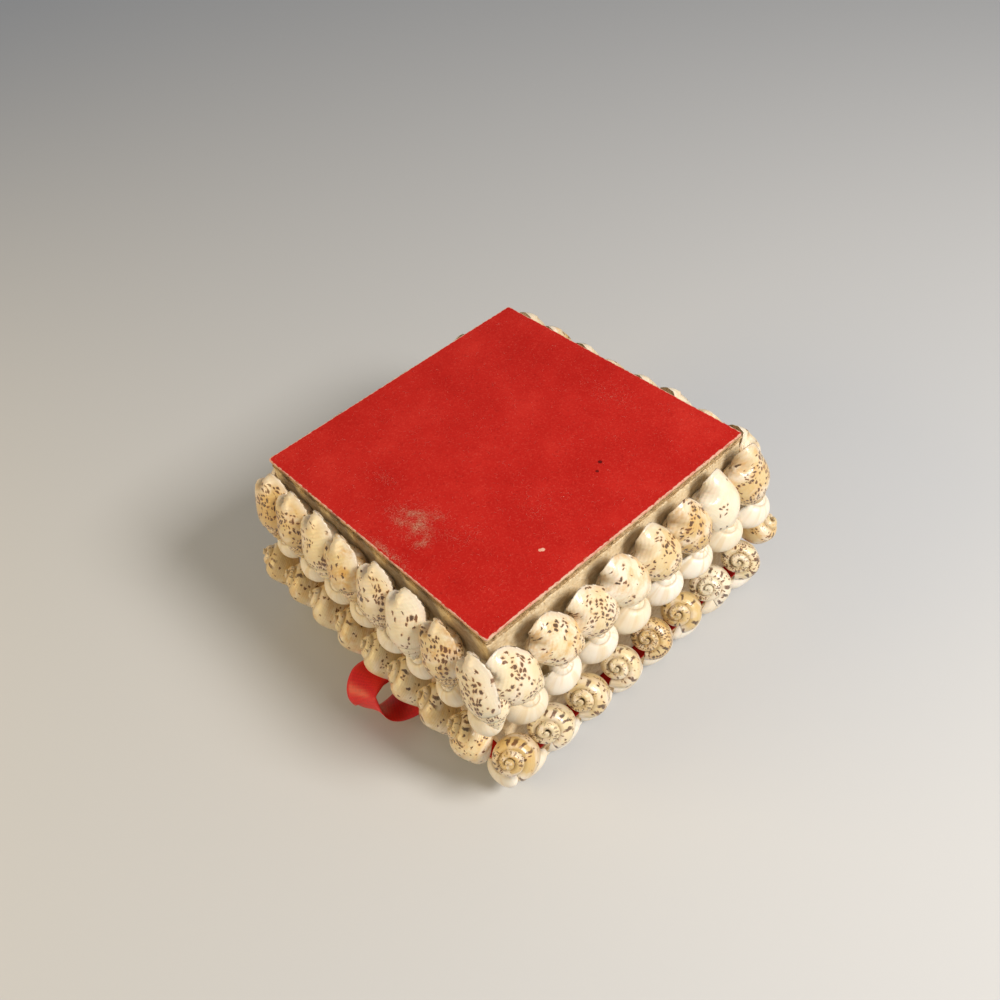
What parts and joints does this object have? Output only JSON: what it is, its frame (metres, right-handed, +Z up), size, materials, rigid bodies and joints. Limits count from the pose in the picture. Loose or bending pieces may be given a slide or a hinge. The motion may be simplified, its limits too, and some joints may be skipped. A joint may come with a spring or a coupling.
{
  "type": "shell box",
  "caption": "Square card trinket box covered on its sides with rows of sea shells, turned over so that it stands on its lid, with a ribbon pull.",
  "frame": {"origin": "on the surface it stands on, below the middle of the bounding box, with the box turned over: the lid is at the bottom and the box's own base faces up", "axes": "+Z up, out of the box's own base; -Y is the front, with the ribbon pull; +X is the right as seen from the front"},
  "size_m": [0.0984, 0.1032, 0.051],
  "materials": {
    "card": "raw layered card, cut edges darker, with traces of dried glue",
    "red_flock": "matt red flocked paper, a little worn and linty",
    "red_ribbon": "grosgrain ribbon with fine cross ribs and a soft sheen",
    "spotted_shell": "glossy cream shell with rows of brown spots",
    "white_shell": "smooth cream-white shell, satin, with fine growth lines"
  },
  "bodies": {
    "root": {"base_covering": "red_flock", "base_board": "card", "card_body": "card", "lid_lining": "red_flock", "lid_board": "card", "lid_covering": "red_flock", "whelk_front_1": "spotted_shell", "whelk_front_2": "spotted_shell", "whelk_front_3": "spotted_shell", "whelk_front_4": "spotted_shell", "whelk_front_5": "spotted_shell", "whelk_front_6": "spotted_shell", "whelk_front_7": "spotted_shell", "whelk_front_8": "spotted_shell", "moon_row_front": "white_shell", "spire_row_front": "spotted_shell", "lid_edge_row_front": "white_shell", "lid_top_row_front": "white_shell", "whelk_right_1": "spotted_shell", "whelk_right_2": "spotted_shell", "whelk_right_3": "spotted_shell", "whelk_right_4": "spotted_shell", "whelk_right_5": "spotted_shell", "whelk_right_6": "spotted_shell", "whelk_right_7": "spotted_shell", "whelk_right_8": "spotted_shell", "moon_row_right": "white_shell", "spire_row_right": "spotted_shell", "lid_edge_row_right": "white_shell", "lid_top_row_right": "white_shell", "whelk_back_1": "spotted_shell", "whelk_back_2": "spotted_shell", "whelk_back_3": "spotted_shell", "whelk_back_4": "spotted_shell", "whelk_back_5": "spotted_shell", "whelk_back_6": "spotted_shell", "whelk_back_7": "spotted_shell", "whelk_back_8": "spotted_shell", "moon_row_back": "white_shell", "spire_row_back": "spotted_shell", "lid_edge_row_back": "white_shell", "lid_top_row_back": "white_shell", "whelk_left_1": "spotted_shell", "whelk_left_2": "spotted_shell", "whelk_left_3": "spotted_shell", "whelk_left_4": "spotted_shell", "whelk_left_5": "spotted_shell", "whelk_left_6": "spotted_shell", "whelk_left_7": "spotted_shell", "whelk_left_8": "spotted_shell", "moon_row_left": "white_shell", "spire_row_left": "spotted_shell", "lid_edge_row_left": "white_shell", "lid_top_row_left": "white_shell", "ribbon_pull": "red_ribbon"}
  },
  "joints": []
}
